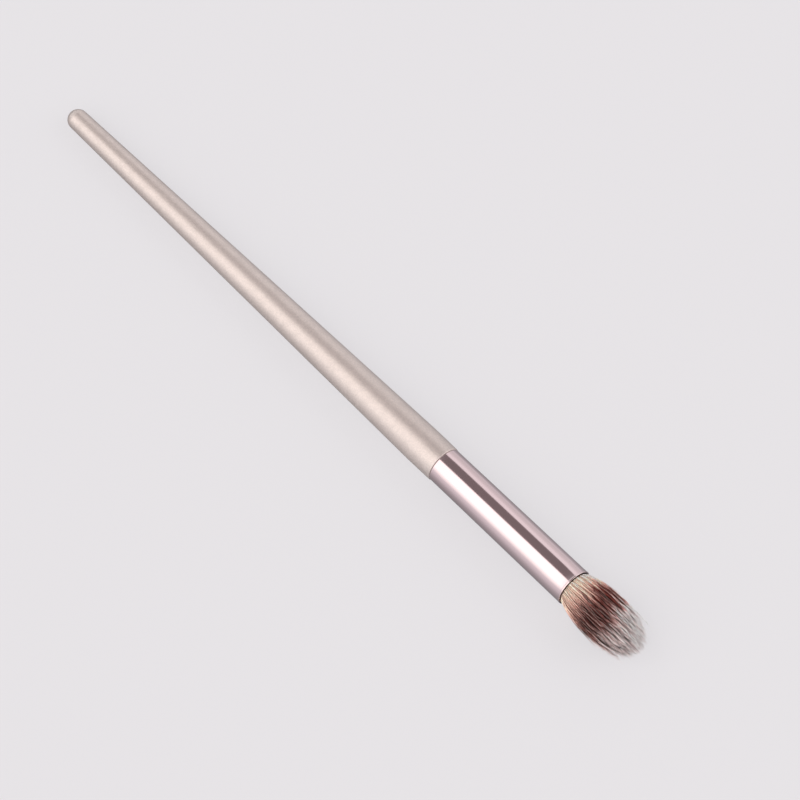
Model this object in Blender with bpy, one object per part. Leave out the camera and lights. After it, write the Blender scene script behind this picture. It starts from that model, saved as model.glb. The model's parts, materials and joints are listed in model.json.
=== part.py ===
"""An eyeshadow brush lying on a table: turned handle, drawn ferrule, glue and a tuft of filaments.

Lengths are in metres. The brush is turned about its own axis, with x running from the pole of
the butt to the tip of the tuft, and an empty lays it down on the plane z = 0, tip towards +X.
"""

import math

import bmesh
import bpy
import numpy as np
from mathutils import Matrix, Vector

# Ferrule: a drawn tube that opens slightly from its rear to its rolled mouth
FERRULE_LENGTH = 0.0372
FERRULE_REAR_RADIUS = 0.00387
FERRULE_FLARE = 0.00014
FERRULE_WALL = 0.0003
LIP_LENGTH = 0.0004
LIP_RISE = 0.00005

# Handle: from the pole of the butt to the shoulder that the ferrule butts against, which stands
# proud of the ferrule. Before the shoulder the handle swells a little further to its widest.
HANDLE_LENGTH = 0.1135
BUTT_RADIUS = 0.00222
BUTT_FLAT_RADIUS = 0.0006
SHOULDER_PROUD = 0.00012
SHOULDER_ROUND = 0.0003
SWELL_RISE = 0.00004
SWELL_FROM_SHOULDER = 0.0068
TENON_LENGTH = 0.0160
TENON_CHAMFER = 0.0006

# Tuft: what stands out of the ferrule's mouth, first to its belly and then to its tip
BELLY_FROM_MOUTH = 0.0096
TIP_FROM_BELLY = 0.0097
BELLY_SPREAD = 0.00124
STRAND_COUNT = 400
STRAND_SIDES = 3
STRAND_ROOT_RADIUS = 0.00011
STRAND_BELLY_RADIUS = 0.00016
# How far the tuft draws in towards its tip. Strands outside the core bend at a knee on their way
# to the belly and once more on the front, where they keep most of their thickness.
GATHER_SHARE = 0.45
CORE_SHARE = 0.6
KNEE_SHARE = 0.36
FRONT_BEND_SHARE = 0.55
FRONT_SECTION_SHARE = 0.75

# Backing: the potted ends of the strands, set back in the mouth
BACKING_RECESS = 0.0006
BACKING_THICKNESS = 0.0012
STRAND_SET_DEPTH = 0.0005

# Glue and fits between pieces
GLUE_THICKNESS = 0.00023
GLUE_CLEARANCE = 0.00005
GLUE_SET_IN = 0.0003
BORE_CLEARANCE = 0.00005
JOINT_GAP = 0.0001
PLUG_GAP = 0.0003

# Facets of the turned pieces, one flat of each facing down
SIDES = 32
DOME_STEPS = 7
SHOULDER_STEPS = 4
ROUND_STEPS = 3
LIP_STEPS = 6
SHARP_DEGREES = 35
GOLDEN_TURN = math.pi * (3 - math.sqrt(5))
GAP_SECTIONS = 24

# Places along the axis and radii that follow from the sizes above
FERRULE_START = HANDLE_LENGTH + JOINT_GAP
MOUTH = FERRULE_START + FERRULE_LENGTH
MOUTH_RADIUS = FERRULE_REAR_RADIUS + FERRULE_FLARE
SHOULDER_RADIUS = FERRULE_REAR_RADIUS + SHOULDER_PROUD
WIDEST_RADIUS = SHOULDER_RADIUS + SWELL_RISE
WIDEST_X = HANDLE_LENGTH - SWELL_FROM_SHOULDER
GLUE_RADIUS = FERRULE_REAR_RADIUS - FERRULE_WALL - GLUE_CLEARANCE - GLUE_THICKNESS
TENON_RADIUS = GLUE_RADIUS - GLUE_CLEARANCE
TENON_END = HANDLE_LENGTH + TENON_LENGTH
BACKING_FRONT = MOUTH - BACKING_RECESS
BACKING_REAR = BACKING_FRONT - BACKING_THICKNESS
TUFT_REACH = BELLY_FROM_MOUTH + TIP_FROM_BELLY
ROOT_RADIUS = MOUTH_RADIUS - FERRULE_WALL - BORE_CLEARANCE - STRAND_ROOT_RADIUS
BELLY_RADIUS = MOUTH_RADIUS + BELLY_SPREAD - STRAND_BELLY_RADIUS


def clear_scene():
    for obj in list(bpy.data.objects):
        bpy.data.objects.remove(obj, do_unlink=True)


def material(name, color, roughness, metallic=0.0):
    """A Principled material of one linear colour."""
    made = bpy.data.materials.new(name)
    made.use_nodes = True
    shader = made.node_tree.nodes["Principled BSDF"]
    shader.inputs["Base Color"].default_value = (*color, 1.0)
    shader.inputs["Roughness"].default_value = roughness
    shader.inputs["Metallic"].default_value = metallic
    return made


def banded_material(name, bands, roughness):
    """A Principled material whose colour runs through bands along the tuft's reach."""
    made = material(name, bands[0][1], roughness)
    nodes = made.node_tree.nodes
    links = made.node_tree.links
    place = nodes.new("ShaderNodeTexCoord")
    split = nodes.new("ShaderNodeSeparateXYZ")
    along = nodes.new("ShaderNodeMapRange")
    ramp = nodes.new("ShaderNodeValToRGB")
    along.inputs["From Min"].default_value = MOUTH
    along.inputs["From Max"].default_value = MOUTH + TUFT_REACH
    elements = ramp.color_ramp.elements
    while len(elements) < len(bands):
        elements.new(1.0)
    for element, (share, color) in zip(elements, bands):
        element.position = share
        element.color = (*color, 1.0)
    links.new(place.outputs["Object"], split.inputs["Vector"])
    links.new(split.outputs["X"], along.inputs["Value"])
    links.new(along.outputs["Result"], ramp.inputs["Fac"])
    links.new(ramp.outputs["Color"], nodes["Principled BSDF"].inputs["Base Color"])
    return made


def add_object(name, mesh, finish):
    mesh.materials.append(finish)
    mesh.shade_smooth()
    mesh.set_sharp_from_angle(angle=math.radians(SHARP_DEGREES))
    obj = bpy.data.objects.new(name, mesh)
    bpy.context.scene.collection.objects.link(obj)
    return obj


def turned(name, outline, finish, ring=False):
    """A piece turned about the x axis from (x, radius) points; a ring's outline closes on itself."""
    bm = bmesh.new()
    points = [bm.verts.new((x, 0.0, -radius)) for x, radius in outline]
    edges = [bm.edges.new(pair) for pair in zip(points, points[1:])]
    if ring:
        edges.append(bm.edges.new((points[-1], points[0])))
    half_step = Matrix.Rotation(math.pi / SIDES, 3, "X")
    bmesh.ops.rotate(bm, verts=points, cent=(0.0, 0.0, 0.0), matrix=half_step)
    bmesh.ops.spin(
        bm,
        geom=points + edges,
        cent=(0.0, 0.0, 0.0),
        axis=(1.0, 0.0, 0.0),
        angle=math.tau,
        steps=SIDES,
        use_merge=True,
    )
    if not ring:
        bmesh.ops.holes_fill(bm, edges=[e for e in bm.edges if e.is_boundary], sides=SIDES)
    bmesh.ops.recalc_face_normals(bm, faces=bm.faces)
    mesh = bpy.data.meshes.new(name)
    bm.to_mesh(mesh)
    bm.free()
    return add_object(name, mesh, finish)


def arc(center_x, center_radius, radius, start, end, steps):
    """Points on a circular arc in the (x, radius) plane, both ends included."""
    angles = np.linspace(start, end, steps + 1)
    return [(center_x + radius * math.cos(a), center_radius + radius * math.sin(a)) for a in angles]


def ferrule_radius(x):
    """The ferrule's outer radius, which grows evenly from its rear to its mouth."""
    return FERRULE_REAR_RADIUS + FERRULE_FLARE * (x - FERRULE_START) / FERRULE_LENGTH


def bore_radius(x):
    return ferrule_radius(x) - FERRULE_WALL


def make_handle():
    """Domed butt with a small parting flat, even taper, a soft swell, and the tenon."""
    flat_angle = math.pi - math.asin(BUTT_FLAT_RADIUS / BUTT_RADIUS)
    outline = arc(BUTT_RADIUS, 0.0, BUTT_RADIUS, flat_angle, math.pi / 2, DOME_STEPS)
    swell_end = HANDLE_LENGTH - SHOULDER_ROUND
    for turn in np.linspace(0.0, 1.0, SHOULDER_STEPS + 1):
        x = WIDEST_X + (swell_end - WIDEST_X) * turn
        outline.append((x, WIDEST_RADIUS - (WIDEST_RADIUS - SHOULDER_RADIUS) * turn**2))
    rounding = arc(
        swell_end, SHOULDER_RADIUS - SHOULDER_ROUND, SHOULDER_ROUND, math.pi / 2, 0.0, ROUND_STEPS
    )
    outline += rounding[1:]
    outline += [
        (HANDLE_LENGTH, TENON_RADIUS),
        (TENON_END - TENON_CHAMFER, TENON_RADIUS),
        (TENON_END, TENON_RADIUS - TENON_CHAMFER),
    ]
    finish = material("champagne_pearl_lacquer", (0.62, 0.50, 0.42), 0.38, 0.55)
    return turned("handle", outline, finish)


def make_ferrule():
    """A thin tube whose mouth is rolled into a small bead, rounded over towards the bore."""
    outline = [(FERRULE_START, bore_radius(FERRULE_START)), (FERRULE_START, FERRULE_REAR_RADIUS)]
    for turn in np.linspace(0.0, 1.0, LIP_STEPS + 1):
        x = MOUTH - LIP_LENGTH * (1.0 - math.sin(turn * math.pi / 2))
        bead = LIP_RISE * math.sin(turn * math.pi)
        fall = FERRULE_WALL / 2 * turn**4
        outline.append((x, ferrule_radius(x) + bead - fall))
    outline.append((MOUTH, bore_radius(MOUTH)))
    finish = material("rose_anodised_aluminium", (0.80, 0.60, 0.61), 0.16, 1.0)
    return turned("ferrule", outline, finish, ring=True)


def make_tenon_glue():
    """The adhesive film that fills the ferrule's bore round the tenon."""
    start = FERRULE_START + GLUE_SET_IN
    end = TENON_END - TENON_CHAMFER
    outline = [
        (start, GLUE_RADIUS),
        (start, bore_radius(start) - GLUE_CLEARANCE),
        (end, bore_radius(end) - GLUE_CLEARANCE),
        (end, GLUE_RADIUS),
    ]
    finish = material("amber_adhesive", (0.55, 0.36, 0.16), 0.4)
    return turned("tenon_glue", outline, finish, ring=True)


def make_resin_plug():
    """The potting that fills the bore between the tenon and the potted strand ends."""
    start = TENON_END + PLUG_GAP
    end = BACKING_REAR - PLUG_GAP
    outline = [
        (start, bore_radius(start) - BORE_CLEARANCE),
        (end, bore_radius(end) - BORE_CLEARANCE),
    ]
    finish = material("clear_epoxy", (0.66, 0.56, 0.40), 0.25)
    return turned("resin_plug", outline, finish)


def facet_reach(radius):
    """How far a turned piece reaches down: to the middle of the flat that faces down."""
    return radius * math.cos(math.pi / SIDES)


def rest_slope():
    """The angle between the axis and the table, which touches the butt and the widest ring."""
    run = WIDEST_X - BUTT_RADIUS
    down = facet_reach(WIDEST_RADIUS)
    return math.atan2(down, run) - math.asin(facet_reach(BUTT_RADIUS) / math.hypot(run, down))


def table_below(x):
    """The distance from the axis down to the table, square to the axis."""
    slope = rest_slope()
    return facet_reach(BUTT_RADIUS) / math.cos(slope) + (x - BUTT_RADIUS) * math.tan(slope)


def tuft_radius(reach):
    """The radius of the outermost strands' middles at this reach from the mouth."""
    if reach < BELLY_FROM_MOUTH:
        left = 1.0 - reach / BELLY_FROM_MOUTH
        return BELLY_RADIUS - (BELLY_RADIUS - ROOT_RADIUS) * left**2
    front = (reach - BELLY_FROM_MOUTH) / TIP_FROM_BELLY
    return BELLY_RADIUS * (1.0 - (1.0 - GATHER_SHARE) * front**2)


def strand_end(share):
    """The reach at which a strand of this share of the radius meets the tuft's elliptic front."""
    drawn = (1.0 - GATHER_SHARE) * share**2
    left = 1.0 - share**2
    half = 0.5 - drawn
    squared = left / (half + math.sqrt(half**2 + (1.0 - GATHER_SHARE) * drawn * left))
    return BELLY_FROM_MOUTH + TIP_FROM_BELLY * math.sqrt(squared)


def pressed(x, y, z, radius):
    """A point of the tuft with its underside pressed flat where the table would cut it."""
    height = table_below(x) - STRAND_BELLY_RADIUS
    depth = math.sqrt(max(0.0, radius**2 - y**2))
    if z < 0.0 and depth > height:
        z *= height / depth
    return Vector((x, y, z))


def strand_bends(share):
    """The reach and the section radius of one strand at its root, at each bend and at its point."""
    set_back = BACKING_RECESS + STRAND_SET_DEPTH
    end = strand_end(share)
    front = BELLY_FROM_MOUTH + (end - BELLY_FROM_MOUTH) * FRONT_BEND_SHARE
    bends = [(-set_back, STRAND_ROOT_RADIUS), (BELLY_FROM_MOUTH, STRAND_BELLY_RADIUS), (end, 0.0)]
    if share > CORE_SHARE:
        bends.insert(1, (BELLY_FROM_MOUTH * KNEE_SHARE, STRAND_BELLY_RADIUS))
        bends.insert(3, (front, STRAND_BELLY_RADIUS * FRONT_SECTION_SHARE))
    return bends


def strand_stations(share, turn):
    """The middle and the section radius of one strand at its root, its bends and its point."""
    knee = BELLY_FROM_MOUTH * KNEE_SHARE
    flare = (tuft_radius(knee) - ROOT_RADIUS) / knee
    stations = []
    for reach, section in strand_bends(share):
        radius = tuft_radius(reach) if reach > 0.0 else ROOT_RADIUS + flare * reach
        y = share * radius * math.sin(turn)
        z = share * radius * math.cos(turn)
        stations.append((pressed(MOUTH + reach, y, z, radius), section))
    return stations


def strand_shares():
    """The share of the radius and the angle of each strand, spread evenly over the tuft."""
    for index in range(STRAND_COUNT):
        yield math.sqrt((index + 0.5) / STRAND_COUNT), index * GOLDEN_TURN


def add_strand(bm, share, turn):
    """One tapered strand, closed at its root and pointed at its free end."""
    stations = strand_stations(share, turn)
    corners = [turn + math.tau * side / STRAND_SIDES for side in range(STRAND_SIDES)]
    rings = []
    for middle, section in stations[:-1]:
        ring = [
            bm.verts.new(middle + Vector((0.0, section * math.sin(a), section * math.cos(a))))
            for a in corners
        ]
        rings.append(ring)
    point = bm.verts.new(stations[-1][0])
    for side in range(STRAND_SIDES):
        after = (side + 1) % STRAND_SIDES
        for back, front in zip(rings, rings[1:]):
            bm.faces.new((back[side], back[after], front[after], front[side]))
        bm.faces.new((rings[-1][side], rings[-1][after], point))
    bm.faces.new(rings[0])


def least_strand_gap():
    """The least distance between the skins of two strands, measured on sections of the tuft."""
    paths = [strand_stations(share, turn) for share, turn in strand_shares()]
    least = math.inf
    for x in np.linspace(MOUTH, MOUTH + TUFT_REACH, GAP_SECTIONS):
        cut = []
        for stations in paths:
            for (a, thick_a), (b, thick_b) in zip(stations, stations[1:]):
                if a.x <= x < b.x:
                    share = (x - a.x) / (b.x - a.x)
                    middle = a.lerp(b, share)
                    cut.append((middle.y, middle.z, thick_a + (thick_b - thick_a) * share))
        if len(cut) > 1:
            y, z, thick = np.array(cut).T
            apart = np.hypot(y[:, None] - y, z[:, None] - z) - thick[:, None] - thick
            np.fill_diagonal(apart, math.inf)
            least = min(least, apart.min())
    return least


def make_tuft():
    """Tapered strands fused to the slice of potting that their roots are set in."""
    bm = bmesh.new()
    for share, turn in strand_shares():
        add_strand(bm, share, turn)
    bmesh.ops.recalc_face_normals(bm, faces=bm.faces)
    mesh = bpy.data.meshes.new("strands")
    bm.to_mesh(mesh)
    bm.free()
    finish = banded_material(
        "banded_filament",
        (
            (0.00, (0.66, 0.47, 0.36)),
            (0.28, (0.58, 0.36, 0.28)),
            (0.42, (0.13, 0.05, 0.045)),
            (0.58, (0.14, 0.07, 0.06)),
            (0.78, (0.46, 0.42, 0.40)),
            (1.00, (0.62, 0.60, 0.59)),
        ),
        0.45,
    )
    strands = add_object("strands", mesh, finish)
    strands.hide_render = True
    strands.display_type = "WIRE"
    outline = [
        (BACKING_REAR, bore_radius(BACKING_REAR) - BORE_CLEARANCE),
        (BACKING_FRONT, bore_radius(BACKING_FRONT) - BORE_CLEARANCE),
    ]
    tuft = turned("bristle_tuft", outline, finish)
    fuse = tuft.modifiers.new("fuse_strands", "BOOLEAN")
    fuse.operation = "UNION"
    fuse.solver = "EXACT"
    fuse.object = strands
    return tuft, strands


def lay_down(objects):
    """Parents the pieces to an empty that lays the brush on z = 0, centred over the origin."""
    axis = bpy.data.objects.new("brush_axis", None)
    bpy.context.scene.collection.objects.link(axis)
    axis.rotation_euler = (0.0, -rest_slope(), 0.0)
    for obj in objects:
        obj.parent = axis
    bpy.context.view_layer.update()
    corners = np.array([obj.matrix_world @ v.co for obj in objects for v in obj.data.vertices])
    low = corners.min(axis=0)
    high = corners.max(axis=0)
    axis.location = (-(low[0] + high[0]) / 2, 0.0, -low[2])


def main():
    clear_scene()
    pieces = [make_handle(), make_ferrule(), make_tenon_glue(), make_resin_plug()]
    pieces += make_tuft()
    lay_down(pieces)
    print(f"least gap between strands {least_strand_gap() * 1000:.3f} mm")
    print(f"rest slope {math.degrees(rest_slope()):.3f} degrees")


main()
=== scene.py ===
import json
import math
import random

import bmesh
import bpy
from mathutils import Matrix, Vector, kdtree


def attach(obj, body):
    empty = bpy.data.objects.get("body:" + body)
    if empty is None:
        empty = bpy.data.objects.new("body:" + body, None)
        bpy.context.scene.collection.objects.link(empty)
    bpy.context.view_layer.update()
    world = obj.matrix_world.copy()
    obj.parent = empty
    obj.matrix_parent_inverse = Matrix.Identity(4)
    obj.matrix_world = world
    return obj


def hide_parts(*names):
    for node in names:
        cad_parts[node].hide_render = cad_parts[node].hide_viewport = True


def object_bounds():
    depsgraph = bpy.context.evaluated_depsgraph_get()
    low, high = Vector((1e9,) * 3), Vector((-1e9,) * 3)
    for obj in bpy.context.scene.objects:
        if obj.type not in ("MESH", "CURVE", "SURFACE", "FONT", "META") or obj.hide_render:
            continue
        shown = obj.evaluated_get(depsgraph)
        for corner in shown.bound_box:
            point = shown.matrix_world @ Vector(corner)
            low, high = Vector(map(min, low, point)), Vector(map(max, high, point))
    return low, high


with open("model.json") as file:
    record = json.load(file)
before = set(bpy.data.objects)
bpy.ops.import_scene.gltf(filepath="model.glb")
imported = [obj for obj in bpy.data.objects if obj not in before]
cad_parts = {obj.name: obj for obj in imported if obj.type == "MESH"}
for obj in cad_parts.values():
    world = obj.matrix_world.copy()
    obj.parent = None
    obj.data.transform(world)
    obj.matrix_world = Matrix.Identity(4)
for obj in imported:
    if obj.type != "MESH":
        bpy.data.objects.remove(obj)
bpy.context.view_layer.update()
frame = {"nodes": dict(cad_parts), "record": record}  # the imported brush, fixed where it lies
mm = 0.001
print("frame loaded:", sorted(frame["nodes"]))


# The brush's own axis: x runs from the flat on the butt to the tip of the tuft

def findAxis():
    mount = next(m for m in frame["record"]["mounts"] if m["name"] == "butt_flat")
    forward = -Vector(mount["axis"])
    turn = forward.to_track_quat("X", "Z").to_matrix().to_4x4()
    return Matrix.Translation(mount["pos_m"]) @ turn


brushPlace = findAxis()


def extentOf(node):  # where a CAD piece starts and ends along the axis, and its greatest radius
    points = [brushPlace.inverted() @ v.co for v in frame["nodes"][node].data.vertices]
    radius = max(math.hypot(p.y, p.z) for p in points)
    return min(p.x for p in points), max(p.x for p in points), radius


def tableBelow(x):  # from the axis down to the table, square to the axis
    return (brushPlace @ Vector((x, 0, 0))).z / brushPlace.col[2].z


# Shared helpers

def linear(hexColour):
    shares = [int(hexColour[i:i + 2], 16) / 255 for i in (1, 3, 5)]
    return [c / 12.92 if c <= 0.04045 else ((c + 0.055) / 1.055) ** 2.4 for c in shares] + [1.0]


def addNode(tree, kind, inputs=None, stops=None, **settings):
    made = tree.nodes.new(kind)
    for name, value in settings.items():
        setattr(made, name, value)
    for name, value in (inputs or {}).items():
        if isinstance(value, bpy.types.NodeSocket):
            tree.links.new(value, made.inputs[name])
        else:
            made.inputs[name].default_value = value
    if stops:
        ramp = made.color_ramp.elements
        while len(ramp) < len(stops):
            ramp.new(1.0)
        for element, (place, colour) in zip(ramp, stops):
            element.position = place
            element.color = linear(colour) if isinstance(colour, str) else [*colour, 1.0]
    return made


def newMaterial(name):
    made = bpy.data.materials.new(name)
    made.use_nodes = True
    return made, made.node_tree, made.node_tree.nodes["Principled BSDF"]


def finishPiece(mesh, name, material, slot, *nodes, sharp=35):
    mesh.materials.clear()
    mesh.materials.append(material)
    mesh.shade_smooth()
    if sharp:
        mesh.set_sharp_from_angle(angle=math.radians(sharp))
    piece = bpy.data.objects.new(name, mesh)
    bpy.context.scene.collection.objects.link(piece)
    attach(piece, "root")
    if nodes:
        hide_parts(*nodes)
    return piece


def arc(centreX, centreRadius, radius, start, end, steps):  # degrees, from +x towards outwards
    angles = [math.radians(start + (end - start) * i / steps) for i in range(steps + 1)]
    return [(centreX + radius * math.cos(a), centreRadius + radius * math.sin(a)) for a in angles]


def turnedMesh(name, outline, steps, ring=False):  # a lathe: (x, radius) points about the axis
    bm = bmesh.new()
    points = [bm.verts.new((x, 0, radius)) for x, radius in outline]
    edges = [bm.edges.new(pair) for pair in zip(points, points[1:])]
    if ring:
        edges.append(bm.edges.new((points[-1], points[0])))
    bmesh.ops.spin(bm, geom=points + edges, cent=(0, 0, 0), axis=(1, 0, 0),
                   angle=math.tau, steps=steps, use_merge=True)
    bmesh.ops.remove_doubles(bm, verts=bm.verts, dist=0.0001 * mm)
    bmesh.ops.recalc_face_normals(bm, faces=bm.faces)
    bm.transform(brushPlace)
    mesh = bpy.data.meshes.new(name)
    bm.to_mesh(mesh)
    bm.free()
    return mesh


# Handle

handle = {
    "buttRadius": 2.22 * mm,
    "buttFlat": 0.6 * mm,
    "shoulderRadius": 3.99 * mm,
    "swellLength": 6.8 * mm,
    "shoulderRound": 0.22 * mm,
    "jointGap": 0.06 * mm,
    "tenonRadius": 3.24 * mm,
    "tenonChamfer": 0.6 * mm,
    "sides": 128,
    "buttSteps": 24,
    "taperSteps": 24,  # the taper is even: its steps keep the faces from growing too long
    "swellSteps": 8,
    "roundSteps": 6,
    "flakeMm": 0.22,  # mica flakes are about 0.03 mm: drawn coarser, so that their grain shows
    "mottleMm": 1.4,
}


def makeLacquer():
    # Champagne pearl lacquer, sprayed and satin: mica in it gives a broad creamy highlight
    # with a fine grain, over a faintly uneven pinkish ground
    material, tree, shader = newMaterial("champagnePearlLacquer")
    place = addNode(tree, "ShaderNodeTexCoord").outputs["Object"]
    inMm = addNode(tree, "ShaderNodeMapping", {"Vector": place, "Scale": [1 / mm] * 3})
    flakes = addNode(tree, "ShaderNodeTexVoronoi",
                     {"Vector": inMm.outputs[0], "Scale": 1 / handle["flakeMm"]})
    mottle = addNode(tree, "ShaderNodeTexNoise",
                     {"Vector": inMm.outputs[0], "Scale": 1 / handle["mottleMm"], "Detail": 4.0})
    ground = addNode(tree, "ShaderNodeValToRGB", {"Fac": mottle.outputs["Fac"]},
                     stops=[(0.35, "#D8CAC4"), (0.65, "#DDCFC9")])
    split = addNode(tree, "ShaderNodeSeparateColor", {"Color": flakes.outputs["Color"]})
    gleam = addNode(tree, "ShaderNodeMapRange", {"Value": split.outputs["Red"], "To Min": 0.93,
                                                 "To Max": 1.08})
    colour = addNode(tree, "ShaderNodeMix", {"Factor": 1.0, "A": ground.outputs["Color"],
                                             "B": gleam.outputs["Result"]},
                     data_type="RGBA", blend_type="MULTIPLY")
    bump = addNode(tree, "ShaderNodeBump", {"Height": split.outputs["Green"], "Strength": 0.25,
                                            "Distance": 0.012 * mm})
    tree.links.new(colour.outputs["Result"], shader.inputs["Base Color"])
    tree.links.new(bump.outputs["Normal"], shader.inputs["Normal"])
    shader.inputs["Metallic"].default_value = 0.7
    shader.inputs["Roughness"].default_value = 0.46
    shader.inputs["Coat Weight"].default_value = 1.0
    shader.inputs["Coat Roughness"].default_value = 0.42
    shader.inputs["Coat IOR"].default_value = 1.9
    return material


def makeHandle():
    start, tenonEnd, widest = extentOf("handle")
    shoulder = extentOf("ferrule")[0] - handle["jointGap"]
    butt, flat = handle["buttRadius"], handle["buttFlat"]
    flatBack = math.sqrt(butt**2 - flat**2)
    flatAngle = 180 - math.degrees(math.asin(flat / butt))
    outline = [(start, 0)]
    outline += arc(start + flatBack, 0, butt, flatAngle, 90, handle["buttSteps"])
    bellyX = shoulder - handle["swellLength"]
    swellEnd = shoulder - handle["shoulderRound"]
    for i in range(1, handle["taperSteps"] + 1):
        share = i / handle["taperSteps"]
        outline.append((start + flatBack + (bellyX - start - flatBack) * share,
                        butt + (widest - butt) * share))
    for i in range(1, handle["swellSteps"] + 1):
        share = i / handle["swellSteps"]
        drop = (widest - handle["shoulderRadius"]) * share**2
        outline.append((bellyX + (swellEnd - bellyX) * share, widest - drop))
    shoulderR, rounding = handle["shoulderRadius"], handle["shoulderRound"]
    outline += arc(swellEnd, shoulderR - rounding, rounding, 90, 0, handle["roundSteps"])[1:]
    tenon, chamfer = handle["tenonRadius"], handle["tenonChamfer"]
    outline += [(shoulder, tenon), (tenonEnd - chamfer, tenon), (tenonEnd, tenon - chamfer)]
    outline += [(tenonEnd, 0)]
    mesh = turnedMesh("handle_turned", outline, handle["sides"])
    return finishPiece(mesh, "handle_turned", makeLacquer(), "lacquered_handle", "handle")


# Ferrule

ferrule = {
    "rearRadius": 3.87 * mm,
    "mouthRadius": 4.01 * mm,
    "wall": 0.3 * mm,
    "edgeRound": 0.1 * mm,
    "lipLength": 0.4 * mm,
    "lipRise": 0.05 * mm,
    "lipFlare": 0.16 * mm,
    "sides": 128,
    "tubeSteps": 12,
    "edgeSteps": 5,
    "lipSteps": 12,
    "drawLineMm": 0.12,  # draw lines are about 0.01 mm apart: drawn coarser, to show at all
    "drawLinesAlong": 40,  # the pattern's scale along the tube, where it is 1 / mm across
}


def makeAnodised():
    # Rose gold anodised aluminium, drawn and polished: crisp reflections with the finest
    # lengthwise draw lines
    material, tree, shader = newMaterial("roseAnodisedAluminium")
    place = addNode(tree, "ShaderNodeTexCoord").outputs["Object"]
    stretch = (ferrule["drawLinesAlong"], 1 / mm, 1 / mm)
    along = addNode(tree, "ShaderNodeMapping", {"Vector": place, "Scale": stretch})
    lines = addNode(tree, "ShaderNodeTexNoise",
                    {"Vector": along.outputs[0], "Scale": 1 / ferrule["drawLineMm"]})
    rough = addNode(tree, "ShaderNodeMapRange", {"Value": lines.outputs["Fac"], "To Min": 0.08,
                                                 "To Max": 0.16})
    bump = addNode(tree, "ShaderNodeBump", {"Height": lines.outputs["Fac"], "Strength": 0.05,
                                            "Distance": 0.01 * mm})
    tree.links.new(rough.outputs["Result"], shader.inputs["Roughness"])
    tree.links.new(bump.outputs["Normal"], shader.inputs["Normal"])
    shader.inputs["Base Color"].default_value = linear("#E6D1D4")
    shader.inputs["Metallic"].default_value = 1.0
    return material


def makeFerrule():
    rear, mouth, _ = extentOf("ferrule")
    rearR, mouthR, wall = ferrule["rearRadius"], ferrule["mouthRadius"], ferrule["wall"]
    edge, lip = ferrule["edgeRound"], ferrule["lipLength"]
    outline = [(rear, rearR - wall)]
    outline += arc(rear + edge, rearR - edge, edge, 180, 90, ferrule["edgeSteps"])
    for i in range(1, ferrule["tubeSteps"] + 1):
        share = i / ferrule["tubeSteps"]
        x = rear + edge + (mouth - lip - rear - edge) * share
        outline.append((x, rearR + (mouthR - rearR) * share))
    outline += lipOutline(mouth, mouthR, lip)
    outline.append((mouth - 2 * lip, mouthR - wall))  # the flare starts this far inside
    mesh = turnedMesh("ferrule_drawn", outline, ferrule["sides"], ring=True)
    return finishPiece(mesh, "ferrule_drawn", makeAnodised(), "ferrule_metal", "ferrule")


def lipOutline(mouth, radius, lip):  # a small bead rolled at the mouth, flared into the bore
    rise, wall, flare = ferrule["lipRise"], ferrule["wall"], ferrule["lipFlare"]
    points = []
    for i in range(1, ferrule["lipSteps"] + 1):
        turn = i / ferrule["lipSteps"]
        x = mouth - lip * (1 - math.sin(turn * math.pi / 2))
        points.append((x, radius + rise * math.sin(turn * math.pi) - (wall - flare) / 2 * turn**4))
    points.append((mouth, radius - wall + flare))
    return points


# Glue and potting, hidden in the ferrule: the CAD pieces stay, with their real finishes

def dressHidden():
    for node, name, pale, deep, grain in (
        ("tenon_glue", "amberAdhesive", "#C79A62", "#9A6C35", 0.8),
        ("resin_plug", "paleEpoxy", "#D9CBAA", "#C2AE86", 1.6),
    ):
        # Cured resin: glossy, with cloudy streaks where it was mixed
        material, tree, shader = newMaterial(name)
        place = addNode(tree, "ShaderNodeTexCoord").outputs["Object"]
        cloud = addNode(tree, "ShaderNodeTexNoise", {"Vector": place, "Scale": 1 / (grain * mm)})
        colour = addNode(tree, "ShaderNodeValToRGB", {"Fac": cloud.outputs["Fac"]},
                         stops=[(0.3, pale), (0.7, deep)])
        tree.links.new(colour.outputs["Color"], shader.inputs["Base Color"])
        shader.inputs["Roughness"].default_value = 0.3
        cad = frame["nodes"][node]
        cad.data.materials.clear()
        cad.data.materials.append(material)


# Tuft

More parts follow.
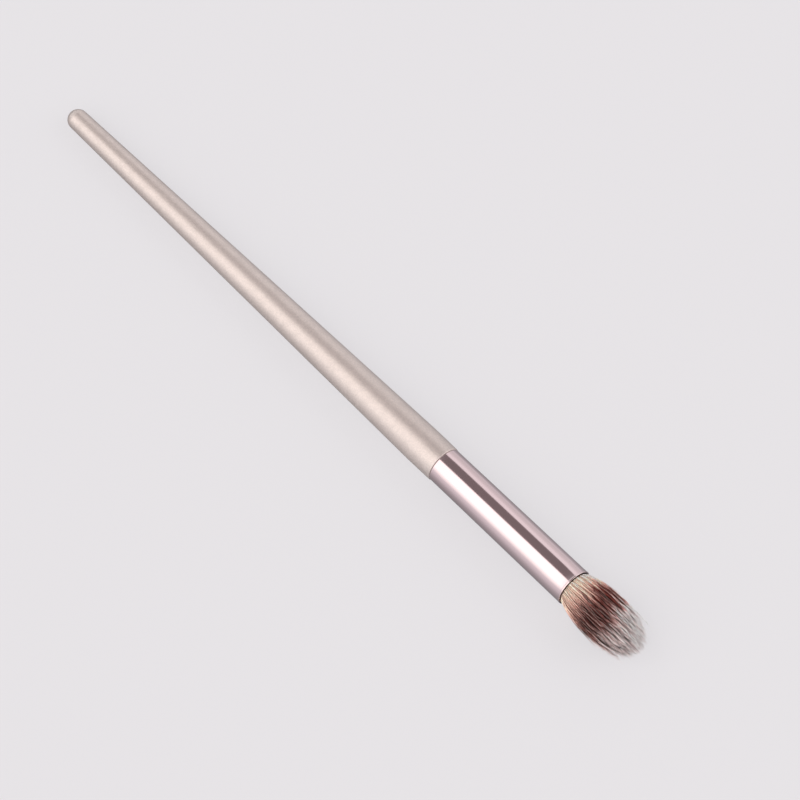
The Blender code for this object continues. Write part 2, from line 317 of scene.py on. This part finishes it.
tuft = {
    "seed": 7,
    "bellyAt": 9.6 * mm,
    "tipAt": 19.3 * mm,
    "bellyRadius": 4.9 * mm,
    "outermost": 5.4 * mm,  # no stray hair stands further from the axis
    "rootRadius": 3.62 * mm,
    "flare": 2.9,  # how soon the root swells to the belly
    "gather": 0.78,  # how far the outer filaments draw in by the tip
    "blunt": 0.38,  # 0.5 gives the front an elliptical dome, less a blunter one
    "filaments": 3600,  # such a tuft holds about 7000 of 0.08 mm: fewer and thicker, to show singly
    "filamentRadius": 0.057 * mm,
    "filamentJitter": 0.02,  # off the even spread, as a share of the radius and in radians
    "widestShare": 0.995,
    "strayRadius": 0.045 * mm,
    "stations": (0.08, 0.16, 0.24, 0.32, 0.4, 0.48, 0.56, 0.64, 0.72, 0.8, 0.87, 0.93, 0.97, 1),
    "taperFrom": 0.8,
    "taperLoss": 0.9,  # the share of its thickness that a filament loses by its end
    "taperCurve": 1.6,
    "rootDepth": 1.0 * mm,
    "rootShadeReach": 0.42 * mm,  # painted shade: the roots are coloured dark up to about this far past the mouth, for the shadow in the gap between the lip and the tuft
    "locks": 950,
    "lockJitter": 0.05,
    "lockPull": (0.25, 0.92),  # at the root, and where the locks are closest
    "closestAt": 0.45,  # the share of the length from which a lock is closest
    "pullScatter": (0.75, 1.1),
    "mostPull": 0.96,
    "lockSway": 0.24 * mm,
    "lockShort": 1.2 * mm,
    "endScatter": 1.1 * mm,
    "lockSwell": 0.035,
    "wander": 0.06 * mm,
    "crimp": 0.08 * mm,  # locks and filaments wave a little, so each one shows for a few mm
    "crimpLength": 5.0 * mm,
    "ownCrimp": 0.4,  # a filament's own wave, as a share of its lock's
    "flyaways": 110,
    "flyawayShare": (0.92, 0.995),
    "flyawayFrom": (0.6, 1),  # at most as long as a filament this far out towards its place
    "flyawayLength": (0.35, 1),  # as a share of that length
    "flyawaySpread": 0.6 * mm,
    "flyawayAway": (0.05, 1),
    "flyawaySideways": 0.5,
    "flyawayTurn": 1.6,  # how soon it has left the others
    "flyawayLightThrough": 0.15,
    "backingDepth": 0.6 * mm,
    "backingThickness": 1.2 * mm,
    "backingSides": 64,
    "sideGroups": 8,  # the dye pattern has this many groups of locks, from the near to the far side
    "kinds": 16,  # and this many kinds of lock in each group, from dark to pale
    "groupBlur": 0.05,
    "kindScatter": 0.8,
    "columnInset": 0.2,  # a face's map stays this far inside its kind's column
    "dyeFollowsEnd": 0.12,  # filaments are dyed before they are staggered: short ones change sooner
    "unshadedFrom": 0.02,  # the least v of a point past the painted root shade
    "ragged": 0.09,  # how far a lock's bands may shift, as a share of the tuft's length
    "slant": (-0.035, 0.11),  # the bands' shift on the near and the far side
    "slantGrows": (0.15, 0.5),  # along the tuft, from its share at the root to all of it
    "slantAtRoot": 0.3,
    "farCurve": 2.5,  # keeps the far side's differences to the far side
    "bands": (
        (0.00, "#FADCC7"), (0.17, "#F6D2C0"), (0.26, "#D4A094"), (0.34, "#70352E"),
        (0.42, "#552823"), (0.51, "#5D302C"), (0.59, "#855A55"), (0.66, "#CFB5B3"),
        (0.74, "#EBD6D5"), (0.82, "#F4E0E0"), (1.00, "#FFF6F6")),
    "undyedAndHighlight": "#F2DDD4",
    "undyedKinds": (0.91, 0.96),  # the few kinds past these shares took less of the dye, and their pale colour also paints the bright streaks where light catches the filaments
    "undyedPale": 0.3,
    "kindTones": (0.06, 1.8),  # of the darkest and the palest kind: random tones per kind, which also paint the shade between locks and the light on them
    "shadeDashLength": 1.0 * mm,  # painted shade and light: short lighter and darker stretches along each filament, where it would weave in and out of shade
    "shadeDashTones": (0.4, 1.5),
    "toneContrast": ((0.0, 0.7), (0.1, 0.62), (0.2, 0.42), (0.3, 0.42), (0.6, 1), (0.84, 1),
                     (1.0, 0.45)),  # how much of these tones shows, from the root to the tip
    "farPaintedLight": (0.9, 2.0),  # painted light: the tones on the near and the far side, and what is added there, make the far side paler, as if lit through from there
    "farPaintedLift": 0.4,
    # painted shade at the ferrule's mouth: the roots fade from this dark colour over these v
    "rootShadeEdge": (0.01, 0.02),
    "rootShadeColour": "#1C110E",
}


def tuftRadius(reach):
    belly, root = tuft["bellyRadius"], tuft["rootRadius"]
    if reach < tuft["bellyAt"]:
        return belly - (belly - root) * (1 - reach / tuft["bellyAt"]) ** tuft["flare"]
    front = (reach - tuft["bellyAt"]) / (tuft["tipAt"] - tuft["bellyAt"])
    return belly * (1 - (1 - tuft["gather"]) * front**2)


def frontOf(share):  # where a filament at this share of the radius meets the domed front
    drawn = (1 - tuft["gather"]) * share**2
    left = 1 - share**2
    half = 0.5 - drawn
    squared = left / (half + math.sqrt(half**2 + (1 - tuft["gather"]) * drawn * left))
    return tuft["bellyAt"] + (tuft["tipAt"] - tuft["bellyAt"]) * squared ** tuft["blunt"]


def tuftPoint(share, angle, reach, mouth):
    radius = tuftRadius(max(reach, 0))
    y, z = share * radius * math.sin(angle), share * radius * math.cos(angle)
    height = tableBelow(mouth + reach) - 2 * tuft["filamentRadius"]
    depth = math.sqrt(max(0, radius**2 - y**2))
    if z < 0 and depth > height:  # pressed flat where the table would cut it
        z *= height / depth
    return Vector((mouth + reach, y, z))


def keptIn(spot):
    out = math.hypot(spot.y, spot.z)
    over = max(1, out / tuft["outermost"])
    return Vector((spot.x, spot.y / over, spot.z / over))


def crimpAt(crimp, reach):  # a sideways wave that grows from nothing at the root
    phase, y, z = crimp
    wave = math.sin(phase + math.tau * max(0, reach) / tuft["crimpLength"])
    return Vector((0, y, z)) * wave * min(1, max(0, reach) / tuft["crimpLength"]) * tuft["crimp"]


def taperAt(along):  # of a filament's thickness: full for most of its length, then to a point
    tapered = max(0, (along - tuft["taperFrom"]) / (1 - tuft["taperFrom"]))
    return 1 - tuft["taperLoss"] * tapered ** tuft["taperCurve"]


def spreadOver(count, dice, jitter):  # share of the radius and angle, evenly over the tuft
    golden = math.pi * (3 - math.sqrt(5))
    for i in range(count):
        share = math.sqrt((i + 0.5) / count) * (1 + dice.uniform(-jitter, jitter))
        yield min(share, tuft["widestShare"]), i * golden + dice.uniform(-jitter, jitter)


def makeLocks(dice):
    locks = []
    finder = kdtree.KDTree(tuft["locks"])
    for share, angle in spreadOver(tuft["locks"], dice, tuft["lockJitter"]):
        sway = Vector((0, dice.gauss(0, 1), dice.gauss(0, 1))) * tuft["lockSway"]
        side = 0.5 + 0.5 * share * math.sin(angle) + dice.gauss(0, tuft["groupBlur"])
        group = min(tuft["sideGroups"] - 1, max(0, int(side * tuft["sideGroups"])))
        finder.insert((share * math.sin(angle), share * math.cos(angle), 0), len(locks))
        share *= 1 - abs(dice.gauss(0, 1)) * tuft["lockSwell"]
        locks.append({"share": share, "angle": angle, "sway": sway, "group": group,
                      "kind": dice.randrange(tuft["kinds"]),
                      "crimp": (dice.uniform(0, math.tau), dice.gauss(0, 1), dice.gauss(0, 1)),
                      "short": abs(dice.gauss(0, 1)) * tuft["lockShort"]})
    finder.balance()
    return locks, finder


def reachesOf(end):  # in the ferrule, at its mouth, past the painted root shade, then on to the end
    return [-tuft["rootDepth"], 0, tuft["rootShadeReach"]] + [end * along for along in tuft["stations"]]


def makeFilament(share, angle, locks, finder, dice, mouth):
    spot = (share * math.sin(angle), share * math.cos(angle), 0)
    lock = locks[finder.find(spot)[1]]
    end = frontOf(share) - lock["short"] - abs(dice.gauss(0, 1)) * tuft["endScatter"]
    wander = Vector((0, dice.gauss(0, 1), dice.gauss(0, 1))) * tuft["wander"]
    low, high = tuft["lockPull"]
    pull = dice.uniform(*tuft["pullScatter"])
    crimp = (dice.uniform(0, math.tau), dice.gauss(0, 1), dice.gauss(0, 1))
    points = []
    for reach in reachesOf(end):
        along = max(0, reach) / end
        own = tuftPoint(share, angle, reach, mouth)
        middle = tuftPoint(lock["share"], lock["angle"], reach, mouth)
        drawn = min(tuft["mostPull"],
                    pull * (low + (high - low) * min(1, along / tuft["closestAt"])))
        place = own.lerp(middle, drawn) + (lock["sway"] + wander) * along**2
        place += crimpAt(lock["crimp"], reach) + crimpAt(crimp, reach) * tuft["ownCrimp"]
        points.append((keptIn(place), tuft["filamentRadius"] * taperAt(along)))
    off = round(dice.gauss(0, tuft["kindScatter"]))
    kind = min(tuft["kinds"] - 1, max(0, lock["kind"] + off))
    return {"points": points, "column": lock["group"] * tuft["kinds"] + kind, "end": end}


def makeFlyaway(dice, mouth):
    share, angle = dice.uniform(*tuft["flyawayShare"]), dice.uniform(0, math.tau)
    longest = frontOf(share * dice.uniform(*tuft["flyawayFrom"]))
    end = longest * dice.uniform(*tuft["flyawayLength"])
    away = dice.uniform(*tuft["flyawayAway"]) * tuft["flyawaySpread"]
    crimp = (dice.uniform(0, math.tau), dice.gauss(0, 1), dice.gauss(0, 1))
    side = dice.gauss(0, tuft["flyawaySideways"]) * tuft["flyawaySpread"]
    out = Vector((0, math.sin(angle), math.cos(angle)))
    across = Vector((0, math.cos(angle), -math.sin(angle)))
    points = []
    for reach in reachesOf(end):
        along = max(0, reach) / end
        spot = tuftPoint(share, angle, reach, mouth)
        left = min(1, along * end / longest * tuft["flyawayTurn"])
        spot += (out * away + across * side) * left
        spot += crimpAt(crimp, reach)
        points.append((keptIn(spot), tuft["strayRadius"] * taperAt(along)))
    group = min(tuft["sideGroups"] - 1, int((0.5 + 0.5 * math.sin(angle)) * tuft["sideGroups"]))
    kind = dice.randrange(tuft["kinds"] // 2, tuft["kinds"])
    return {"points": points, "column": group * tuft["kinds"] + kind, "end": end}


def filamentMesh(name, filaments):
    curve = bpy.data.curves.new(name, "CURVE")
    curve.dimensions = "3D"
    curve.bevel_depth = 1
    curve.bevel_resolution = 0
    curve.use_fill_caps = True
    for filament in filaments:
        points = filament["points"]
        spline = curve.splines.new("POLY")
        spline.points.add(len(points) - 1)
        places = [brushPlace @ spot for spot, _ in points]
        for place, (_, radius) in zip(places, points):
            place.z = max(place.z, radius)
        spline.points.foreach_set("co", [c for place in places for c in (*place, 1)])
        spline.points.foreach_set("radius", [radius for _, radius in points])
    holder = bpy.data.objects.new(name, curve)
    mesh = bpy.data.meshes.new_from_object(holder)
    bpy.data.objects.remove(holder)
    bpy.data.curves.remove(curve)
    return mesh


def ownersOf(mesh, filaments):
    # A mesh from a capped curve holds the caps of both ends first, from the last filament to
    # the first, and then a ring of four vertices to each point, in the filaments' order
    capVertices = 8
    ringVertices = 4 * len(filaments[0]["points"])
    capped = capVertices * len(filaments)
    return [len(filaments) - 1 - i // capVertices if i < capped
            else (i - capped) // ringVertices for i in range(len(mesh.vertices))]


def mapFilaments(mesh, filaments, mouth):
    # One map for the dye: u picks the kind of filament, by side and at random, and v is how far
    # along the dye bands a point is, with the painted root shade at 0
    owners = ownersOf(mesh, filaments)
    columns = tuft["sideGroups"] * tuft["kinds"]
    inset = tuft["columnInset"]
    back = brushPlace.inverted()
    dyed = []
    for owner, vertex in zip(owners, mesh.vertices):
        reach = (back @ vertex.co).x - mouth
        sooner = tuft["dyeFollowsEnd"] * (tuft["tipAt"] - filaments[owner]["end"])
        v = (reach + sooner) / tuft["tipAt"]
        dyed.append(0 if reach < tuft["rootShadeReach"] / 2 else min(1, max(tuft["unshadedFrom"], v)))
    layer = mesh.uv_layers.new(name="OFBake") if not mesh.uv_layers else mesh.uv_layers[0]
    layer.name = "OFBake"
    places = []
    for polygon in mesh.polygons:
        for i, corner in enumerate(polygon.vertices):
            column = filaments[owners[corner]]["column"] + (inset if i in (0, 3) else 1 - inset)
            places += [column / columns, dyed[corner]]
    layer.uv.foreach_set("vector", places)


def dyeBands(tree, v, chance, far):
    # Each lock changes colour at a place of its own, and those on the far side sooner
    ragged = addNode(tree, "ShaderNodeMapRange", {"Value": chance, "To Min": -tuft["ragged"],
                                                  "To Max": tuft["ragged"]})
    slant = addNode(tree, "ShaderNodeMapRange", {"Value": far, "To Min": tuft["slant"][0],
                                                 "To Max": tuft["slant"][1]})
    growing = addNode(tree, "ShaderNodeMapRange", {"Value": v, "From Min": tuft["slantGrows"][0],
                                                   "From Max": tuft["slantGrows"][1],
                                                   "To Min": tuft["slantAtRoot"]})
    slanted = addNode(tree, "ShaderNodeMath", {0: slant.outputs[0], 1: growing.outputs[0]},
                      operation="MULTIPLY")
    shift = addNode(tree, "ShaderNodeMath", {0: ragged.outputs[0], 1: slanted.outputs[0]},
                    operation="ADD")
    along = addNode(tree, "ShaderNodeMath", {0: v, 1: shift.outputs[0]}, operation="ADD")
    bands = addNode(tree, "ShaderNodeValToRGB", {"Fac": along.outputs[0]}, stops=tuft["bands"])
    return bands.outputs["Color"]


def dyeTones(tree, v, kind, far):
    # The tone of each kind of lock, times the dashes along it, which are painted shade and light, and
    # paler on the far side, a painted light
    # Painted shade and light: lighter and darker stretches along each filament
    dashes = addNode(tree, "ShaderNodeMath", {0: v, 1: tuft["tipAt"] / tuft["shadeDashLength"]},
                     operation="MULTIPLY")
    step = addNode(tree, "ShaderNodeMath", {0: kind, 1: tuft["kinds"]}, operation="MODULO")
    tone = addNode(tree, "ShaderNodeMapRange", {"Value": step.outputs[0],
                                                "From Max": tuft["kinds"] - 1,
                                                "To Min": tuft["kindTones"][0],
                                                "To Max": tuft["kindTones"][1]})
    dashPlace = addNode(tree, "ShaderNodeCombineXYZ", {"X": kind, "Y": dashes.outputs[0]})
    dash = addNode(tree, "ShaderNodeTexNoise", {"Vector": dashPlace.outputs[0], "Scale": 1.0,
                                                "Detail": 1.0})
    dashShade = addNode(tree, "ShaderNodeMapRange", {"Value": dash.outputs["Fac"], "From Min": 0.3,
                                                  "From Max": 0.7,
                                                  "To Min": tuft["shadeDashTones"][0],
                                                  "To Max": tuft["shadeDashTones"][1]})
    streaked = addNode(tree, "ShaderNodeMath", {0: tone.outputs["Result"],
                                                1: dashShade.outputs["Result"]}, operation="MULTIPLY")
    # Painted light: the far side is made paler, for the light that comes through the filaments there
    litGain = addNode(tree, "ShaderNodeMapRange", {"Value": far, "To Min": tuft["farPaintedLight"][0],
                                                "To Max": tuft["farPaintedLight"][1]})
    litLift = addNode(tree, "ShaderNodeMapRange", {"Value": far, "To Max": tuft["farPaintedLift"]})
    tones = addNode(tree, "ShaderNodeMath", {0: streaked.outputs[0], 1: litGain.outputs[0],
                                             2: litLift.outputs[0]}, operation="MULTIPLY_ADD")
    return tones.outputs[0]


def makeDyed(name, lightThrough):
    # Tapered PBT filament, dyed in bands: cream root, red brown band, grey white tips, with the
    # edge of each band ragged from one lock to the next. A stray one by itself lets light
    # through, and its paler colour paints that light. The dark root, the dashes and the paler far
    # side are painted shade and light too
    material, tree, shader = newMaterial(name)
    uv = addNode(tree, "ShaderNodeUVMap", uv_map="OFBake")
    split = addNode(tree, "ShaderNodeSeparateXYZ", {"Vector": uv.outputs["UV"]})
    u, v = split.outputs["X"], split.outputs["Y"]
    columns = tuft["sideGroups"] * tuft["kinds"]
    column = addNode(tree, "ShaderNodeMath", {0: u, 1: columns}, operation="MULTIPLY")
    kind = addNode(tree, "ShaderNodeMath", {0: column.outputs[0]}, operation="FLOOR").outputs[0]
    chance = addNode(tree, "ShaderNodeTexWhiteNoise", {"W": kind}, noise_dimensions="1D")
    parts = addNode(tree, "ShaderNodeSeparateColor", {"Color": chance.outputs["Color"]})
    farther = addNode(tree, "ShaderNodeMath", {0: u, 1: tuft["farCurve"]}, operation="POWER")
    far = farther.outputs[0]
    # Partly painted highlight: a few kinds are mixed towards a pale colour, as undyed filaments and
    # as bright streaks where light catches them
    undyedAndHighlight = addNode(tree, "ShaderNodeMapRange", {"Value": parts.outputs["Blue"],
                                                  "From Min": tuft["undyedKinds"][0],
                                                  "From Max": tuft["undyedKinds"][1],
                                                  "To Min": lightThrough,
                                                  "To Max": tuft["undyedPale"]})
    paled = addNode(tree, "ShaderNodeMix", {"Factor": undyedAndHighlight.outputs["Result"],
                                            "A": dyeBands(tree, v, parts.outputs["Red"], far),
                                            "B": linear(tuft["undyedAndHighlight"])}, data_type="RGBA")
    contrast = addNode(tree, "ShaderNodeValToRGB", {"Fac": v}, stops=[
        (place, [share] * 3) for place, share in tuft["toneContrast"]])
    toned = addNode(tree, "ShaderNodeMix", {"Factor": contrast.outputs["Color"],
                                            "A": paled.outputs["Result"],
                                            "B": dyeTones(tree, v, kind, far)},
                    data_type="RGBA", blend_type="MULTIPLY", clamp_result=True)
    # Painted shade: the roots at the mouth are coloured dark for the shadow in the gap under the lip
    unshaded = addNode(tree, "ShaderNodeMapRange", {"Value": v, "From Min": tuft["rootShadeEdge"][0],
                                               "From Max": tuft["rootShadeEdge"][1]})
    rootShaded = addNode(tree, "ShaderNodeMix", {"Factor": unshaded.outputs["Result"],
                                             "A": linear(tuft["rootShadeColour"]),
                                             "B": toned.outputs["Result"]}, data_type="RGBA")
    tree.links.new(rootShaded.outputs["Result"], shader.inputs["Base Color"])
    shader.inputs["Roughness"].default_value = 0.35
    shader.inputs["Specular IOR Level"].default_value = 0.22
    return material


def makeTuft():
    dice = random.Random(tuft["seed"])
    mouth = extentOf("ferrule")[1]
    locks, finder = makeLocks(dice)
    spread = spreadOver(tuft["filaments"], dice, tuft["filamentJitter"])
    filaments = [makeFilament(share, angle, locks, finder, dice, mouth)
                 for share, angle in spread]
    flyaways = [makeFlyaway(dice, mouth) for _ in range(tuft["flyaways"])]
    material = makeDyed("bandedPbtFilament", 0)
    # Painted light: strays get a paler colour for the light that passes through them
    strayMaterial = makeDyed("strayPbtFilament", tuft["flyawayLightThrough"])
    third = len(filaments) // 3
    groups = {
        "tuft_heart": filaments[:third],
        "tuft_mantle": filaments[third:2 * third],
        "tuft_skin": filaments[2 * third:],
        "tuft_flyaways": flyaways,
    }
    for name, group in groups.items():
        mesh = filamentMesh(name, group)
        mapFilaments(mesh, group, mouth)
        dyed = strayMaterial if group is flyaways else material
        finishPiece(mesh, name, dyed, "filament", "bristle_tuft", sharp=0)
        print(name, len(group), "filaments", sum(len(p.vertices) - 2 for p in mesh.polygons))
    front = mouth - tuft["backingDepth"]
    rear = front - tuft["backingThickness"]
    radius = tuft["rootRadius"]
    outline = [(rear, 0), (rear, radius), (front, radius), (front, 0)]
    mesh = turnedMesh("tuft_backing", outline, tuft["backingSides"])
    finishPiece(mesh, "tuft_backing", bpy.data.materials["paleEpoxy"], "filament", "bristle_tuft")


# Studio: a plain pale floor under a wide soft light from the near side, a paler fill from the far
# side and a dark gap overhead, which the metal shows as its two bands

studio = {
    "floorColour": "#E8E6E9",
    "floorSize": 8.0,
    "ownGlow": 0.72,  # share of the floor's colour that the camera sees free of shadow
    "backdrop": (0.745, 0.73, 0.735),
    # degrees from overhead towards the near side, and the light there
    "lights": (
        (-90, (0.7, 0.69, 0.69)), (-78, (0.72, 0.7, 0.7)), (-65, (0.8, 0.77, 0.775)),
        (-54, (0.96, 0.93, 0.935)), (-40, (0.97, 0.94, 0.945)), (-35.5, (0.22, 0.188, 0.19)),
        (11, (0.22, 0.188, 0.19)), (16.5, (1.65, 1.58, 1.53)), (66, (1.65, 1.58, 1.53)),
        (73, (1.45, 1.42, 1.38)), (82, (1.15, 1.15, 1.13)), (90, (0.95, 0.95, 0.94))),
    "brightest": 1.65,
    "ends": 0.85,
    # the x or y of a direction at which each of these starts to show, and is full
    "endsFrom": (0.5, 0.72),
    "tipLight": (1.65, 1.62, 1.61),  # a second soft light, beyond the tuft on the far side
    "tipLightFrom": (0.25, 0.5),
    "farFrom": (0.1, 0.4),
    # distance in mm from the brush's line on the near and the far side, and the painted shade there,
    # seen only in the metal
    "nearShade": ((0, 0.25), (5.7, 0.39), (8.5, 0.5), (12.5, 0.64), (20, 0.83), (49, 1.0),
                  (100, 1.0)),
    "farShade": ((0, 0.22), (5.7, 0.3), (12.5, 0.45), (26, 0.6), (60, 0.8), (100, 0.9)),
    "shadeReachMm": 100,
}

camera = {
    "azimuth": 47.8653,
    "elevation": 59.6683,
    "distance": 900 * mm,
    "target": (12.1742 * mm, 3.1859 * mm, 5.0 * mm),
    "lensMm": 205.147,
    "nearestShown": 10 * mm,
}


def makeFloor():
    bpy.ops.mesh.primitive_plane_add(size=studio["floorSize"], location=(0, 0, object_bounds()[0][2]))
    floor = bpy.context.object
    floor.name = "floor"
    material, tree, shader = newMaterial("paleFloor")
    colour = linear(studio["floorColour"])
    shader.inputs["Base Color"].default_value = colour
    shader.inputs["Roughness"].default_value = 0.9
    shader.inputs["Specular IOR Level"].default_value = 0.1
    # Painted shadow: the metal mirrors the floor darker along the brush, as if the brush kept the
    # light off it
    place = addNode(tree, "ShaderNodeTexCoord").outputs["Object"]
    split = addNode(tree, "ShaderNodeSeparateXYZ", {"Vector": place})
    shades = []
    for side, sign in (("nearShade", -1), ("farShade", 1)):
        away = addNode(tree, "ShaderNodeMath", {
            0: split.outputs["Y"], 1: sign / (studio["shadeReachMm"] * mm)}, operation="MULTIPLY")
        shades.append(addNode(tree, "ShaderNodeValToRGB", {"Fac": away.outputs[0]}, stops=[
            (reach / studio["shadeReachMm"], (shade,) * 3) for reach, shade in studio[side]]))
    isFar = addNode(tree, "ShaderNodeMath", {0: split.outputs["Y"], 1: 0.0},
                    operation="GREATER_THAN")
    shade = addNode(tree, "ShaderNodeMix", {"Factor": isFar.outputs[0],
                                            "A": shades[0].outputs["Color"],
                                            "B": shades[1].outputs["Color"]}, data_type="RGBA")
    path = addNode(tree, "ShaderNodeLightPath")
    seen = addNode(tree, "ShaderNodeMix", {"Factor": path.outputs["Is Glossy Ray"],
                                           "A": (1, 1, 1, 1), "B": shade.outputs["Result"]},
                   data_type="RGBA")
    glowColour = addNode(tree, "ShaderNodeMix", {"Factor": 1.0, "A": colour,
                                                 "B": seen.outputs["Result"]},
                         data_type="RGBA", blend_type="MULTIPLY")
    glow = addNode(tree, "ShaderNodeEmission", {"Color": glowColour.outputs["Result"]})
    looked = addNode(tree, "ShaderNodeMath", {0: path.outputs["Is Camera Ray"],
                                              1: path.outputs["Is Transmission Ray"]},
                     operation="MAXIMUM")
    share = addNode(tree, "ShaderNodeMath", {0: looked.outputs[0], 1: studio["ownGlow"]},
                    operation="MULTIPLY")
    amount = addNode(tree, "ShaderNodeMath", {0: share.outputs[0],
                                              1: path.outputs["Is Glossy Ray"]},
                     operation="MAXIMUM")
    mixed = addNode(tree, "ShaderNodeMixShader", {0: amount.outputs[0], 1: shader.outputs[0],
                                                  2: glow.outputs[0]})
    tree.links.new(mixed.outputs[0], tree.nodes["Material Output"].inputs["Surface"])
    floor.data.materials.append(material)


def makeLight():
    world = bpy.data.worlds.new("studio")
    bpy.context.scene.world = world
    world.use_nodes = True
    tree = world.node_tree
    direction = addNode(tree, "ShaderNodeTexCoord").outputs["Generated"]
    split = addNode(tree, "ShaderNodeSeparateXYZ", {"Vector": direction})
    near = addNode(tree, "ShaderNodeMath", {0: split.outputs["Y"], 1: -1.0}, operation="MULTIPLY")
    angle = addNode(tree, "ShaderNodeMath", {0: near.outputs[0], 1: split.outputs["Z"]},
                    operation="ARCTAN2")
    turn = addNode(tree, "ShaderNodeMapRange", {"Value": angle.outputs[0], "From Min": -math.pi / 2,
                                                "From Max": math.pi / 2})
    top = studio["brightest"]
    bands = addNode(tree, "ShaderNodeValToRGB", {"Fac": turn.outputs["Result"]}, stops=[
        ((degrees + 90) / 180, [part / top for part in light])
        for degrees, light in studio["lights"]])
    aside = addNode(tree, "ShaderNodeMath", {0: split.outputs["X"]}, operation="ABSOLUTE")
    ends, beyond, farther = [
        addNode(tree, "ShaderNodeMapRange", {"Value": value, "From Min": studio[name][0],
                                             "From Max": studio[name][1]},
                interpolation_type="SMOOTHSTEP").outputs["Result"]
        for value, name in ((aside.outputs[0], "endsFrom"), (split.outputs["X"], "tipLightFrom"),
                            (split.outputs["Y"], "farFrom"))]
    shown = addNode(tree, "ShaderNodeMix", {"Factor": ends, "A": bands.outputs["Color"],
                                            "B": [studio["ends"] / top] * 3 + [1]},
                    data_type="RGBA")
    tipward = addNode(tree, "ShaderNodeMath", {0: beyond, 1: farther}, operation="MULTIPLY")
    lit = addNode(tree, "ShaderNodeMix", {"Factor": tipward.outputs[0],
                                          "A": shown.outputs["Result"],
                                          "B": [part / top for part in studio["tipLight"]] + [1]},
                  data_type="RGBA")
    path = addNode(tree, "ShaderNodeLightPath")
    plain = addNode(tree, "ShaderNodeMix", {"Factor": path.outputs["Is Camera Ray"],
                                            "A": lit.outputs["Result"],
                                            "B": [part / top for part in studio["backdrop"]] + [1]},
                    data_type="RGBA")
    background = tree.nodes["Background"]
    tree.links.new(plain.outputs["Result"], background.inputs["Color"])
    background.inputs["Strength"].default_value = top


def makeCamera():
    around, up = math.radians(camera["azimuth"]), math.radians(camera["elevation"])
    back = Vector((math.sin(around) * math.cos(up), -math.cos(around) * math.cos(up), math.sin(up)))
    data = bpy.data.cameras.new("camera")
    data.lens = camera["lensMm"]
    data.clip_start = camera["nearestShown"]
    made = bpy.data.objects.new("camera", data)
    bpy.context.scene.collection.objects.link(made)
    made.location = Vector(camera["target"]) + back * camera["distance"]
    made.rotation_euler = (-back).to_track_quat("-Z", "Y").to_euler()
    bpy.context.scene.camera = made


makeHandle()
makeFerrule()
dressHidden()
print("handle and ferrule ready")
makeTuft()
print("tuft ready")
makeFloor()
makeLight()
makeCamera()
print("studio ready")

bpy.context.scene.view_settings.view_transform = "Standard"
